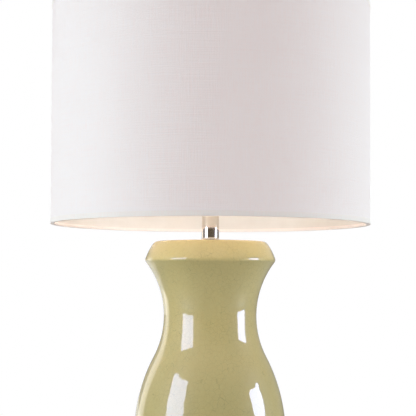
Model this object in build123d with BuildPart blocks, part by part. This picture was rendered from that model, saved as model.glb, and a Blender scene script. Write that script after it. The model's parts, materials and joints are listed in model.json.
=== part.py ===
from build123d import *
import os
from math import cos, radians, sin, sqrt

# A table lamp: a hollow glazed jar on a felt foot, a chrome neck, a turn-knob socket with its bulb,
# and a drum shade that hangs from a wire harp under a screwed-on finial.
# Origin: centre of the underside, on the table. +Z is up, the front looks along -Y. Millimetres.

# Fits
running_clearance = 0.08  # radial, between pieces that turn or slide on each other
seat_clearance = 0.3  # between a moving piece and the face that carries it
slip_clearance = 0.15  # radial, round the rod and between nested pieces that stay put
glue_gap = 0.05  # between the glued layers of the shade

# Jar
felt_thickness = 2.0
felt_radius = 75.0
jar_height = 428.0
jar_wall = 6.5
top_radius = 71.0  # where the bevel would meet the flat top
top_corner_round = 8.0
bevel_curve = 80.0
ridge_radius = 84.0  # where the bevel would meet the waist's curve
ridge_drop = 24.7
ridge_round = 5.6
waist_radius = 59.3
waist_drop = 95.2
waist_share = 0.34  # how far along the line to the belly the waist's curve turns into it
belly_radius = 97.0
belly_height = 179.0
belly_share = 0.67
foot_waist_radius = 68.0
foot_waist_height = 44.0
foot_ridge_radius = 81.5
foot_ridge_height = 10.0
foot_ridge_round = 3.0
foot_radius = 78.0
foot_wall = 8.0

# Cord outlet in the back of the foot
outlet_height = 22.0
grommet_bore_radius = 3.3
grommet_wall = 1.7
grommet_flange_rim = 2.5  # how far the flange stands out round the grommet's square body
grommet_flange_thickness = 2.0
grommet_lip_rim = 1.0
grommet_lip_thickness = 2.0
grommet_corner_round = 2.0

# Threaded rod and what it clamps
rod_radius = 5.0
rod_bore_radius = 3.5
rod_tail = 5.0  # what stands out below the bottom nut
floor_washer_radius = 26.0
floor_washer_thickness = 1.5
lock_washer_radius = 8.5
lock_washer_thickness = 1.4
nut_flats = 14.3
nut_height = 4.0

# Neck
gasket_radius = 11.5
gasket_thickness = 0.8
seat_ring_radius = 13.2
seat_ring_height = 4.2
seat_ring_rim = 1.4
neck_radius = 11.1
neck_wall = 1.0
neck_height = 38.1
neck_plug_height = 3.0
neck_cap_overhang = 0.7
neck_cap_height = 3.0
neck_cap_round = 1.2

# Harp saddle and its two ears
saddle_reach = 28.6
saddle_width = 12.7
saddle_thickness = 1.6
saddle_bend = 2.4
shoulder_height = 5.0
ear_width = 3.4
ear_height = 13.0

# Harp
harp_wire_radius = 2.0
harp_height = 241.3  # from the underside of the saddle to the face that carries the shade
harp_knee_height = 46.0
harp_knee_round = 40.0
harp_belly_reach = 56.0
harp_belly_height = 102.0
harp_belly_round = 90.0
harp_shoulder_reach = 51.5
harp_shoulder_drop = 41.0
harp_shoulder_round = 75.0
harp_crown_reach = 30.0
harp_crown_round = 27.0
sleeve_wall = 1.4
sleeve_length = 14.0
sleeve_chamfer = 0.4
bracket_radius = 6.3
bracket_height = 7.0
stud_radius = 3.1
stud_height = 12.0
stud_chamfer = 0.6

# Socket
cap_hub_radius = 8.5
cap_neck_height = 4.0
cap_boss_height = 8.0
cap_shoulder_height = 14.0
cap_height = 24.0
cap_radius = 18.2
cap_wall = 0.8
shell_wall = 0.6
shell_lap = 9.0  # how deep the shell sits in the cap
shell_height = 47.0
shell_bead = 0.7
shell_bead_height = 2.0
liner_wall = 0.7
liner_setback = 2.0  # below the rim of the shell
insulator_height = 18.0
insulator_setback = 0.8
thread_radius = 13.1
screw_shell_wall = 0.5
screw_shell_height = 23.0
contact_boss_height = 2.0
contact_boss_setback = 1.0
contact_radius = 4.0
contact_thickness = 1.0

# Switch
switch_height = 29.0
switch_boss_radius = 3.2
switch_boss_reach = 18.6
shaft_radius = 1.6
shaft_inner_end = 9.0
shaft_length = 21.0
knob_collar_radius = 4.0
knob_collar_length = 5.0
knob_length = 17.0
knob_width = 13.0
knob_thickness = 5.0
knob_round = 1.0

# Bulb
tip_radius = 4.4
tip_height = 1.6
insulating_cone_height = 3.6
insulating_cone_radius = 11.0
screw_base_height = 21.0
bulb_neck_radius = 13.4
bulb_neck_height = 5.0
bulb_share = 0.42
bulb_radius = 30.0
bulb_centre_height = 55.0
bulb_wall = 1.0

# Shade
shade_radius = 203.2
shade_height = 279.4
fabric_thickness = 0.6
liner_thickness = 0.5
hem_height = 6.0
hem_thickness = 0.4
hem_web = 0.5
hem_fold_height = 4.0
ring_wire_radius = 1.5
spider_drop = 12.7  # from the rim of the shade down to the hub
hub_radius = 12.0
hub_thickness = 1.2
arm_count = 3
arm_wire_radius = 1.6
arm_bend_setback = 38.0
arm_rise_run = 26.0
arm_bend_round = 20.0
arm_start_angle = 90.0
arm_notch_clearance = 0.3

# Finial
finial_collar_radius = 6.6
finial_collar_height = 2.6
finial_neck_radius = 4.6
finial_neck_height = 7.5
finial_ball_radius = 10.5
finial_bore_spare = 1.5

# Heights above the table
foot_z = felt_thickness
jar_top_z = foot_z + jar_height
ridge_z = jar_top_z - ridge_drop
waist_z = jar_top_z - waist_drop
belly_z = foot_z + belly_height
foot_waist_z = foot_z + foot_waist_height
foot_ridge_z = foot_z + foot_ridge_height
floor_z = foot_waist_z - jar_wall
outlet_z = foot_z + outlet_height
floor_washer_z = floor_z - floor_washer_thickness
lock_washer_z = floor_washer_z - lock_washer_thickness
bottom_nut_z = lock_washer_z - nut_height
seat_ring_z = jar_top_z + gasket_thickness
neck_z = seat_ring_z + seat_ring_height
neck_top_z = neck_z + neck_height
saddle_z = neck_top_z + neck_cap_height
saddle_nut_z = saddle_z + saddle_thickness
shoulder_z = saddle_z + shoulder_height
ear_top_z = saddle_z + ear_height
socket_z = saddle_nut_z + nut_height
shell_z = socket_z + cap_height - shell_lap
shell_top_z = shell_z + shell_height
insulator_z = shell_z + insulator_setback
insulator_top_z = insulator_z + insulator_height
contact_z = insulator_top_z + contact_boss_height
tip_z = contact_z + contact_thickness + seat_clearance
cone_z = tip_z + tip_height
screw_base_z = cone_z + insulating_cone_height
glass_z = screw_base_z + screw_base_height
switch_z = socket_z + switch_height
harp_seat_z = saddle_z + harp_height
crown_z = harp_seat_z - bracket_height / 2
hub_z = harp_seat_z + seat_clearance
hub_top_z = hub_z + hub_thickness
shade_top_z = hub_z + spider_drop
shade_bottom_z = shade_top_z - shade_height
top_ring_z = shade_top_z - hem_web - glue_gap - ring_wire_radius
bottom_ring_z = shade_bottom_z + hem_web + glue_gap + ring_wire_radius
finial_z = hub_top_z + seat_clearance

# Radii that follow from the pieces inside or outside them
rod_hole_radius = rod_radius + slip_clearance
recess_radius = foot_waist_radius - foot_wall
grommet_width = 2 * (grommet_bore_radius + grommet_wall)
flange_width = grommet_width + 2 * grommet_flange_rim
lip_width = grommet_width + 2 * grommet_lip_rim
shell_radius = cap_radius - cap_wall - slip_clearance
liner_radius = shell_radius - shell_wall - slip_clearance
insulator_radius = liner_radius - liner_wall - slip_clearance
screw_shell_radius = thread_radius + screw_shell_wall
base_radius = thread_radius - running_clearance
liner_outer_radius = shade_radius - fabric_thickness - glue_gap
liner_inner_radius = liner_outer_radius - liner_thickness
ring_radius = liner_inner_radius - glue_gap - ring_wire_radius
hem_outer_radius = shade_radius + glue_gap + hem_thickness
hem_fold_radius = ring_radius - ring_wire_radius - glue_gap - hem_thickness
stud_hole_radius = stud_radius + running_clearance

# Stations of the jar's outline, each with a vertical tangent
waist = (waist_radius, waist_z)
belly = (belly_radius, belly_z)
foot_waist = (foot_waist_radius, foot_waist_z)


def between(start, end, share):
    """The point at a share of the line from start to end; two arcs that leave the ends
    vertically meet there with a common tangent."""
    return (start[0] + share * (end[0] - start[0]), start[1] + share * (end[1] - start[1]))


def inward(point, inset):
    """A point of the outline, moved towards the axis."""
    return (point[0] - inset, point[1])


def jar_side(inset):
    """The jar's side from the ridge down to the foot waist, as arcs."""
    upper = inward(waist, inset)
    middle = inward(belly, inset)
    lower = inward(foot_waist, inset)
    TangentArc(upper, inward((ridge_radius, ridge_z), inset), tangent=(0, 1))
    TangentArc(upper, between(upper, middle, waist_share), tangent=(0, -1))
    TangentArc(middle, between(upper, middle, waist_share), tangent=(0, 1))
    TangentArc(middle, between(middle, lower, belly_share), tangent=(0, -1))
    TangentArc(lower, between(middle, lower, belly_share), tangent=(0, 1))


def foot_flare_radius(height):
    """The outer radius of the foot's flare at a height between its ridge and its waist."""
    flare_out = foot_ridge_radius - foot_waist_radius
    flare_down = foot_waist_z - foot_ridge_z
    curve = (flare_out**2 + flare_down**2) / (2 * flare_out)
    return foot_waist_radius + curve - sqrt(curve**2 - (foot_waist_z - height) ** 2)


def bulb_outline(inset):
    """Half of the bulb's glass, from its collar to its top."""
    neck = (bulb_neck_radius - inset, glass_z + bulb_neck_height)
    equator = (bulb_radius - inset, glass_z + bulb_centre_height)
    Line((bulb_neck_radius - inset, glass_z), neck)
    TangentArc(neck, between(neck, equator, bulb_share), tangent=(0, 1))
    TangentArc(equator, between(neck, equator, bulb_share), tangent=(0, -1))
    TangentArc(equator, (0, equator[1] + equator[0]), tangent=(0, 1))
    Polyline((0, equator[1] + equator[0]), (0, glass_z), (bulb_neck_radius - inset, glass_z))


def finish(piece, name):
    """Label one finished piece and write it as its own file."""
    piece.label = name
    export_step(piece, f"parts/{name}.step")


def flat_ring(outer_radius, inner_radius, base_z, thickness):
    """A washer, disc or short tube about the lamp's axis."""
    with BuildSketch(Plane.XY.offset(base_z)) as ring:
        Circle(outer_radius)
        Circle(inner_radius, mode=Mode.SUBTRACT)
    extrude(ring.sketch, amount=thickness)


def outlet_section(plane, width):
    """A square section with rounded corners about the cord outlet's axis."""
    with BuildSketch(plane) as section:
        with Locations((0, outlet_z)):
            RectangleRounded(width, width, grommet_corner_round)
    return section.sketch


def hex_nut(base_z):
    """A hexagonal nut on the rod."""
    with BuildSketch(Plane.XY.offset(base_z)) as hexagon:
        RegularPolygon(nut_flats / 2, 6, major_radius=False)
        Circle(rod_hole_radius, mode=Mode.SUBTRACT)
    extrude(hexagon.sketch, amount=nut_height)


os.makedirs("parts", exist_ok=True)

# ---- Jar and foot -----------------------------------------------------------------------------
with BuildPart() as felt_pad:
    Cylinder(felt_radius, felt_thickness, align=(Align.CENTER, Align.CENTER, Align.MIN))
finish(felt_pad.part, "felt_pad")

# Where the grommet's flange beds: as deep as the flare is thin at the flange's upper edge.
flange_seat_y = foot_flare_radius(min(outlet_z + flange_width / 2, foot_waist_z))
flange_seat = Plane.XZ.offset(-flange_seat_y)
lip_y = sqrt(recess_radius**2 - (lip_width / 2) ** 2)

with BuildPart() as ceramic_body:
    with BuildSketch(Plane.XZ):
        with BuildLine():
            jar_side(0)
            TangentArc(foot_waist, (foot_ridge_radius, foot_ridge_z), tangent=(0, -1))
            Polyline(
                (foot_ridge_radius, foot_ridge_z),
                (foot_radius, foot_z),
                (0, foot_z),
                (0, jar_top_z),
                (top_radius, jar_top_z),
            )
            RadiusArc((top_radius, jar_top_z), (ridge_radius, ridge_z), bevel_curve)
        make_face()
        fillet(vertices().sort_by_distance((ridge_radius, ridge_z))[0], ridge_round)
        fillet(vertices().sort_by_distance((top_radius, jar_top_z))[0], top_corner_round)
        fillet(vertices().sort_by_distance((foot_ridge_radius, foot_ridge_z))[0], foot_ridge_round)
    revolve(axis=Axis.Z)
    # The sealed space between the floor and the top
    with BuildSketch(Plane.XZ):
        with BuildLine():
            jar_side(jar_wall)
            Polyline(
                inward(foot_waist, jar_wall),
                (0, foot_waist_z),
                (0, jar_top_z - jar_wall),
                (top_radius - jar_wall, jar_top_z - jar_wall),
                (ridge_radius - jar_wall, ridge_z),
            )
        make_face()
    revolve(axis=Axis.Z, mode=Mode.SUBTRACT)
    # The open recess under the floor
    with BuildSketch(Plane.XY.offset(foot_z)):
        Circle(recess_radius)
    extrude(amount=floor_z - foot_z, mode=Mode.SUBTRACT)
    # The rod's way through the floor and the top
    with BuildSketch(Plane.XY.offset(foot_z)):
        Circle(rod_hole_radius)
    extrude(amount=jar_height, mode=Mode.SUBTRACT)
    # The cord's way out, with a flat bed for the grommet's flange
    bed = outlet_section(flange_seat, flange_width + 2 * slip_clearance)
    extrude(bed, amount=flange_seat_y - foot_ridge_radius, mode=Mode.SUBTRACT)
    way_out = outlet_section(flange_seat, grommet_width)
    extrude(way_out, amount=flange_seat_y - recess_radius / 2, mode=Mode.SUBTRACT)
finish(ceramic_body.part, "ceramic_body")

with BuildPart() as cord_grommet:
    extrude(outlet_section(flange_seat, flange_width), amount=-grommet_flange_thickness)
    fillet(faces().sort_by(Axis.Y)[-1].edges(), grommet_flange_thickness / 2)
    extrude(outlet_section(flange_seat, grommet_width), amount=flange_seat_y - lip_y)
    extrude(outlet_section(Plane.XZ.offset(-lip_y), lip_width), amount=grommet_lip_thickness)
    with BuildSketch(Plane.XZ.offset(-flange_seat_y - grommet_flange_thickness)):
        with Locations((0, outlet_z)):
            Circle(grommet_bore_radius)
    extrude(amount=flange_seat_y, mode=Mode.SUBTRACT)
finish(cord_grommet.part, "cord_grommet")

# ---- Rod and what it clamps -------------------------------------------------------------------
with BuildPart() as floor_washer:
    flat_ring(floor_washer_radius, rod_hole_radius, floor_washer_z, floor_washer_thickness)
finish(floor_washer.part, "floor_washer")

with BuildPart() as lock_washer:
    flat_ring(lock_washer_radius, rod_hole_radius, lock_washer_z, lock_washer_thickness)
finish(lock_washer.part, "lock_washer")

with BuildPart() as bottom_nut:
    hex_nut(bottom_nut_z)
finish(bottom_nut.part, "bottom_nut")

rod_z = bottom_nut_z - rod_tail
rod_top_z = socket_z + cap_boss_height

with BuildPart() as lamp_rod:
    flat_ring(rod_radius, rod_bore_radius, rod_z, rod_top_z - rod_z)
finish(lamp_rod.part, "lamp_rod")

# ---- Neck -------------------------------------------------------------------------------------
neck_plug_radius = neck_radius - neck_wall - slip_clearance

with BuildPart() as top_gasket:
    flat_ring(gasket_radius, rod_hole_radius, jar_top_z, gasket_thickness)
finish(top_gasket.part, "top_gasket")

with BuildPart() as seat_ring:
    with BuildSketch(Plane.XZ):
        with BuildLine():
            Polyline(
                (neck_radius, neck_z),
                (neck_plug_radius, neck_z),
                (neck_plug_radius, neck_z + neck_plug_height),
                (rod_hole_radius, neck_z + neck_plug_height),
                (rod_hole_radius, seat_ring_z),
                (seat_ring_radius, seat_ring_z),
                (seat_ring_radius, seat_ring_z + seat_ring_rim),
            )
            TangentArc((neck_radius, neck_z), (seat_ring_radius, seat_ring_z + seat_ring_rim), tangent=(0, -1))
        make_face()
    revolve(axis=Axis.Z)
    fillet(edges().filter_by(GeomType.CIRCLE).sort_by(SortBy.RADIUS)[-1], seat_ring_rim / 3)
finish(seat_ring.part, "seat_ring")

with BuildPart() as neck_tube:
    flat_ring(neck_radius, neck_radius - neck_wall, neck_z, neck_height)
finish(neck_tube.part, "neck_tube")

with BuildPart() as neck_cap:
    flat_ring(neck_radius + neck_cap_overhang, rod_hole_radius, neck_top_z, neck_cap_height)
    fillet(edges().group_by(Axis.Z)[-1].sort_by(SortBy.RADIUS)[-1], neck_cap_round)
    flat_ring(neck_plug_radius, rod_hole_radius, neck_top_z - neck_plug_height, neck_plug_height)
finish(neck_cap.part, "neck_cap")

# ---- Saddle and harp --------------------------------------------------------------------------
strap_z = saddle_z + saddle_thickness / 2

with BuildPart() as harp_saddle:
    with BuildSketch(Plane.XZ):
        with BuildLine() as strap:
            FilletPolyline(
                (-saddle_reach, ear_top_z),
                (-saddle_reach, strap_z),
                (saddle_reach, strap_z),
                (saddle_reach, ear_top_z),
                radius=saddle_bend,
            )
        trace(strap.line, line_width=saddle_thickness)
    extrude(amount=saddle_width / 2, both=True)
    # Shoulders: above them each ear narrows to a tongue
    with BuildSketch(Plane.YZ):
        for side in (-1, 1):
            with Locations((side * ear_width / 2, shoulder_z)):
                Rectangle(
                    saddle_width,
                    ear_height,
                    align=(Align.MIN if side > 0 else Align.MAX, Align.MIN),
                )
    extrude(amount=saddle_reach + saddle_thickness, both=True, mode=Mode.SUBTRACT)
    with BuildSketch(Plane.XY.offset(saddle_z)):
        Circle(rod_hole_radius)
    extrude(amount=saddle_thickness, mode=Mode.SUBTRACT)
finish(harp_saddle.part, "harp_saddle")

with BuildPart() as saddle_nut:
    hex_nut(saddle_nut_z)
finish(saddle_nut.part, "saddle_nut")

leg_z = ear_top_z + seat_clearance
harp_half = [
    (saddle_reach, leg_z),
    (saddle_reach, saddle_z + harp_knee_height),
    (harp_belly_reach, saddle_z + harp_belly_height),
    (harp_shoulder_reach, crown_z - harp_shoulder_drop),
    (harp_crown_reach, crown_z),
]
harp_rounds = [harp_knee_round, harp_belly_round, harp_shoulder_round, harp_crown_round]

with BuildPart() as harp_loop:
    with BuildLine(Plane.XZ) as harp_route:
        FilletPolyline(
            *[(-reach, height) for reach, height in harp_half],
            *reversed(harp_half),
            radius=harp_rounds + harp_rounds[::-1],
        )
    with BuildSketch(Plane.XY.offset(leg_z)):
        with Locations((-saddle_reach, 0)):
            Circle(harp_wire_radius)
    sweep(path=harp_route.line)
finish(harp_loop.part, "harp_loop")

with BuildPart() as harp_stud:
    with BuildSketch(Plane.XY.offset(harp_seat_z - bracket_height)):
        Circle(bracket_radius)
    extrude(amount=bracket_height)
    with BuildSketch(Plane.XY.offset(harp_seat_z)):
        Circle(stud_radius)
    extrude(amount=stud_height)
    chamfer(faces().sort_by(Axis.Z)[-1].edges(), stud_chamfer)
    with BuildSketch(Plane.YZ):
        with Locations((0, crown_z)):
            Circle(harp_wire_radius)
    extrude(amount=bracket_radius, both=True, mode=Mode.SUBTRACT)
finish(harp_stud.part, "harp_stud")

for side, side_name in ((-1, "left"), (1, "right")):
    with BuildPart() as harp_sleeve:
        with BuildSketch(Plane.XY.offset(shoulder_z + seat_clearance)):
            with Locations((side * saddle_reach, 0)):
                Circle(harp_wire_radius + running_clearance + sleeve_wall)
                Circle(harp_wire_radius + running_clearance, mode=Mode.SUBTRACT)
        extrude(amount=sleeve_length)
        rims = edges().filter_by(GeomType.CIRCLE).group_by(SortBy.RADIUS)[-1]
        chamfer(rims, sleeve_chamfer)
    finish(harp_sleeve.part, f"harp_sleeve_{side_name}")

# ---- Socket -----------------------------------------------------------------------------------
with BuildPart() as socket_cap:
    with BuildSketch(Plane.XZ):
        with BuildLine():
            neck_edge = (cap_hub_radius, socket_z + cap_neck_height)
            shoulder = (cap_radius, socket_z + cap_shoulder_height)
            inner_neck = (cap_hub_radius, socket_z + cap_neck_height + cap_wall)
            inner_shoulder = (cap_radius - cap_wall, socket_z + cap_shoulder_height)
            TangentArc(neck_edge, shoulder, tangent=(1, 0))
            Polyline(
                shoulder,
                (cap_radius, socket_z + cap_height),
                (cap_radius - cap_wall, socket_z + cap_height),
                inner_shoulder,
            )
            TangentArc(inner_neck, inner_shoulder, tangent=(1, 0))
            Polyline(
                inner_neck,
                (cap_hub_radius, socket_z + cap_boss_height),
                (rod_hole_radius, socket_z + cap_boss_height),
                (rod_hole_radius, socket_z),
                (cap_hub_radius, socket_z),
                neck_edge,
            )
        make_face()
    revolve(axis=Axis.Z)
finish(socket_cap.part, "socket_cap")

switch_gap_radius = switch_boss_radius + slip_clearance

with BuildPart() as socket_shell:
    flat_ring(shell_radius, shell_radius - shell_wall, shell_z, shell_height)
    bead_z = shell_top_z - shell_bead_height
    flat_ring(shell_radius + shell_bead, shell_radius - shell_wall, bead_z, shell_bead_height)
    rims = edges().filter_by(GeomType.CIRCLE).group_by(SortBy.RADIUS)[-1]
    fillet(rims, shell_bead / 2)
    with BuildSketch(Plane.XZ):
        with Locations((0, switch_z)):
            Circle(switch_gap_radius)
    extrude(amount=cap_radius, mode=Mode.SUBTRACT)
finish(socket_shell.part, "socket_shell")

with BuildPart() as socket_liner:
    flat_ring(liner_radius, liner_radius - liner_wall, shell_z, shell_height - liner_setback)
    with BuildSketch(Plane.XZ):
        with Locations((0, switch_z)):
            Circle(switch_gap_radius)
    extrude(amount=cap_radius, mode=Mode.SUBTRACT)
finish(socket_liner.part, "socket_liner")

with BuildPart() as socket_insulator:
    with BuildSketch(Plane.XY.offset(insulator_z)):
        Circle(insulator_radius)
    extrude(amount=insulator_height)
    with BuildSketch(Plane.XY.offset(insulator_top_z)):
        Circle(thread_radius - contact_boss_setback)
    extrude(amount=contact_boss_height)
    # The switch's bush stands out through the liner and the shell
    with BuildSketch(Plane.XZ):
        with Locations((0, switch_z)):
            Circle(switch_boss_radius)
    extrude(amount=switch_boss_reach)
    with BuildSketch(Plane.XZ.offset(shaft_inner_end)):
        with Locations((0, switch_z)):
            Circle(shaft_radius + running_clearance)
    extrude(amount=switch_boss_reach, mode=Mode.SUBTRACT)
finish(socket_insulator.part, "socket_insulator")

with BuildPart() as socket_screw_shell:
    flat_ring(screw_shell_radius, thread_radius, insulator_top_z, screw_shell_height)
finish(socket_screw_shell.part, "socket_screw_shell")

with BuildPart() as socket_contact:
    flat_ring(contact_radius, contact_radius / 3, contact_z, contact_thickness)
finish(socket_contact.part, "socket_contact")

# ---- Switch -----------------------------------------------------------------------------------
shaft_start = shaft_inner_end + seat_clearance
knob_start = switch_boss_reach + seat_clearance

with BuildPart() as switch_shaft:
    with BuildSketch(Plane.XZ.offset(shaft_start)):
        with Locations((0, switch_z)):
            Circle(shaft_radius)
    extrude(amount=shaft_length)
finish(switch_shaft.part, "switch_shaft")

with BuildPart() as switch_knob:
    with BuildSketch(Plane.XZ.offset(knob_start)):
        with Locations((0, switch_z)):
            Circle(knob_collar_radius)
    extrude(amount=knob_collar_length)
    with BuildSketch(Plane.XZ.offset(knob_start + knob_collar_length)):
        with Locations((0, switch_z)):
            SlotOverall(knob_width, knob_thickness)
    extrude(amount=knob_length - knob_collar_length)
    fillet(faces().sort_by(Axis.Y)[0].edges(), knob_round)
    with BuildSketch(Plane.XZ.offset(shaft_start)):
        with Locations((0, switch_z)):
            Circle(shaft_radius)
    extrude(amount=shaft_length, mode=Mode.SUBTRACT)
finish(switch_knob.part, "switch_knob")

# ---- Bulb -------------------------------------------------------------------------------------
with BuildPart() as bulb_tip:
    with BuildSketch(Plane.XY.offset(tip_z)):
        Circle(tip_radius)
    extrude(amount=tip_height)
    fillet(faces().sort_by(Axis.Z)[0].edges(), tip_height / 2)
finish(bulb_tip.part, "bulb_tip")

with BuildPart() as bulb_insulator:
    with BuildSketch(Plane.XY.offset(cone_z)):
        Circle(tip_radius)
    with BuildSketch(Plane.XY.offset(screw_base_z)):
        Circle(insulating_cone_radius)
    loft()
finish(bulb_insulator.part, "bulb_insulator")

with BuildPart() as bulb_screw_base:
    with BuildSketch(Plane.XY.offset(screw_base_z)):
        Circle(base_radius)
    extrude(amount=screw_base_height)
    chamfer(faces().sort_by(Axis.Z)[0].edges(), base_radius - insulating_cone_radius)
finish(bulb_screw_base.part, "bulb_screw_base")

with BuildPart() as bulb_globe:
    with BuildSketch(Plane.XZ):
        with BuildLine():
            bulb_outline(0)
        make_face()
    revolve(axis=Axis.Z)
    with BuildSketch(Plane.XZ):
        with BuildLine():
            bulb_outline(bulb_wall)
        make_face()
    revolve(axis=Axis.Z, mode=Mode.SUBTRACT)
finish(bulb_globe.part, "bulb_globe")

# ---- Shade ------------------------------------------------------------------------------------
wall_z = shade_bottom_z + hem_web + glue_gap
wall_height = shade_height - 2 * (hem_web + glue_gap)

with BuildPart() as shade_fabric:
    flat_ring(shade_radius, shade_radius - fabric_thickness, wall_z, wall_height)
finish(shade_fabric.part, "shade_fabric")

with BuildPart() as shade_liner:
    flat_ring(liner_outer_radius, liner_inner_radius, wall_z, wall_height)
finish(shade_liner.part, "shade_liner")


def hem_section(edge_z, inward_step):
    """The tape's section: a band outside the wall, a web over its edge and a fold inside the ring.
    The step is +1 where the wall lies above the edge and -1 where it lies below."""
    band_inner_radius = hem_outer_radius - hem_thickness
    web_z = edge_z + inward_step * hem_web
    band_z = edge_z + inward_step * hem_height
    fold_z = edge_z + inward_step * hem_fold_height
    Polyline(
        (hem_fold_radius, edge_z),
        (hem_outer_radius, edge_z),
        (hem_outer_radius, band_z),
        (band_inner_radius, band_z),
        (band_inner_radius, web_z),
        (hem_fold_radius + hem_thickness, web_z),
        (hem_fold_radius + hem_thickness, fold_z),
        (hem_fold_radius, fold_z),
        close=True,
    )


with BuildPart() as shade_bottom_hem:
    with BuildSketch(Plane.XZ):
        with BuildLine():
            hem_section(shade_bottom_z, 1)
        make_face()
    revolve(axis=Axis.Z)
finish(shade_bottom_hem.part, "shade_bottom_hem")

with BuildPart() as shade_top_hem:
    with BuildSketch(Plane.XZ):
        with BuildLine():
            hem_section(shade_top_z, -1)
        make_face()
    revolve(axis=Axis.Z)
    # The fold is notched where the spider's arms come through
    with Locations((0, 0, top_ring_z)):
        with PolarLocations(0, arm_count, start_angle=arm_start_angle):
            Cylinder(
                arm_wire_radius + arm_notch_clearance,
                ring_radius,
                rotation=(0, 90, 0),
                align=(Align.CENTER, Align.CENTER, Align.MIN),
                mode=Mode.SUBTRACT,
            )
finish(shade_top_hem.part, "shade_top_hem")

for ring_name, ring_z in (("shade_top_ring", top_ring_z), ("shade_bottom_ring", bottom_ring_z)):
    with BuildPart() as shade_ring:
        with BuildSketch(Plane.XZ):
            with Locations((ring_radius, ring_z)):
                Circle(ring_wire_radius)
        revolve(axis=Axis.Z)
    finish(shade_ring.part, ring_name)

with BuildPart() as spider_hub:
    flat_ring(hub_radius, stud_hole_radius, hub_z, hub_thickness)
finish(spider_hub.part, "spider_hub")

arm_z = hub_z + hub_thickness / 2
arm_end = ring_radius - ring_wire_radius
arm_bend = arm_end - arm_bend_setback

for arm in range(arm_count):
    arm_angle = radians(arm_start_angle + arm * 360 / arm_count)
    outward = (cos(arm_angle), sin(arm_angle), 0)
    sideways = (sin(arm_angle), -cos(arm_angle), 0)
    with BuildPart() as spider_arm:
        with BuildLine(Plane((0, 0, 0), x_dir=outward, z_dir=sideways)) as arm_route:
            FilletPolyline(
                (hub_radius, arm_z),
                (arm_bend, arm_z),
                (arm_bend + arm_rise_run, top_ring_z),
                (arm_end, top_ring_z),
                radius=arm_bend_round,
            )
        with BuildSketch(Plane(arm_route.line @ 0, z_dir=outward)):
            Circle(arm_wire_radius)
        sweep(path=arm_route.line)
    finish(spider_arm.part, f"spider_arm_{arm + 1}")

# ---- Finial -----------------------------------------------------------------------------------
finial_bore_depth = stud_height - (finial_z - harp_seat_z) + finial_bore_spare
ball_seat_z = finial_z + finial_neck_height
ball_centre_z = ball_seat_z + sqrt(finial_ball_radius**2 - finial_neck_radius**2)

with BuildPart() as finial:
    with BuildSketch(Plane.XZ):
        with BuildLine():
            collar_edge = (finial_collar_radius, finial_z + finial_collar_height)
            ball_top = (0, ball_centre_z + finial_ball_radius)
            ball_side = (finial_ball_radius, ball_centre_z)
            Polyline(ball_top, (0, finial_z), (finial_collar_radius, finial_z), collar_edge)
            TangentArc((finial_neck_radius, ball_seat_z), collar_edge, tangent=(0, -1))
            TangentArc(ball_side, (finial_neck_radius, ball_seat_z), tangent=(0, -1))
            TangentArc(ball_side, ball_top, tangent=(0, 1))
        make_face()
    revolve(axis=Axis.Z)
    with BuildSketch(Plane.XY.offset(finial_z)):
        Circle(stud_hole_radius)
    extrude(amount=finial_bore_depth, mode=Mode.SUBTRACT)
finish(finial.part, "finial")
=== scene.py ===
import json
from math import atan2, ceil, cos, hypot, pi, radians, sqrt

import bmesh
import bpy
from mathutils import Matrix, Vector

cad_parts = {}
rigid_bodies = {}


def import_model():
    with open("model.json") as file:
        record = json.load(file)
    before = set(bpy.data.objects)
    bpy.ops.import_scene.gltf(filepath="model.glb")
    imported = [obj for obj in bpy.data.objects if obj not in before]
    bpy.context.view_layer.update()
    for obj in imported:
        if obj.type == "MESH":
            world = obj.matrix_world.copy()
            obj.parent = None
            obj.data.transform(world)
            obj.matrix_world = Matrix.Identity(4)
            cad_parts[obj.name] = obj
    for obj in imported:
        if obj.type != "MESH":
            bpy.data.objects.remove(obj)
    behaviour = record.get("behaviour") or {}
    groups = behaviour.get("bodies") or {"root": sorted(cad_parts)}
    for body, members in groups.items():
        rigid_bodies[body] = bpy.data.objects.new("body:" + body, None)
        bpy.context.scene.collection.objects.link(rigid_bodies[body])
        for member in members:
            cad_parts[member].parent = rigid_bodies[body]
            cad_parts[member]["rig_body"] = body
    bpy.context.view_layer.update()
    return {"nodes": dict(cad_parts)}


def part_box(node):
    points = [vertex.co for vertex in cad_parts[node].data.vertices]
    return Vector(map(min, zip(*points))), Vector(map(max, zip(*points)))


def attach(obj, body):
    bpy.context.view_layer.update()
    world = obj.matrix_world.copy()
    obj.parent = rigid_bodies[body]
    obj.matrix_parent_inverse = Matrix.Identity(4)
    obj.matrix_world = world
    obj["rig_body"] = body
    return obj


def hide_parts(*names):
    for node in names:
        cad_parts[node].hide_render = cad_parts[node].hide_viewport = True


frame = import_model()

# The looks of a table lamp: a glazed waisted jar, a chrome neck, a socket with its bulb, and a linen
# drum shade on a wire harp. Pieces are drawn in millimetres. Finished meshes, the camera and the
# lights are in metres.
MM = 0.001

# Camera
CAMERA_SENSOR = 36.0
CAMERA_LENS = 95.19
CAMERA_SHIFT = 0.09
CAMERA_PLACE = (-0.0030, -1.412, 0.380)
CAMERA_TILT = radians(91.82)
CAMERA_ROLL = 0.0033

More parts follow.
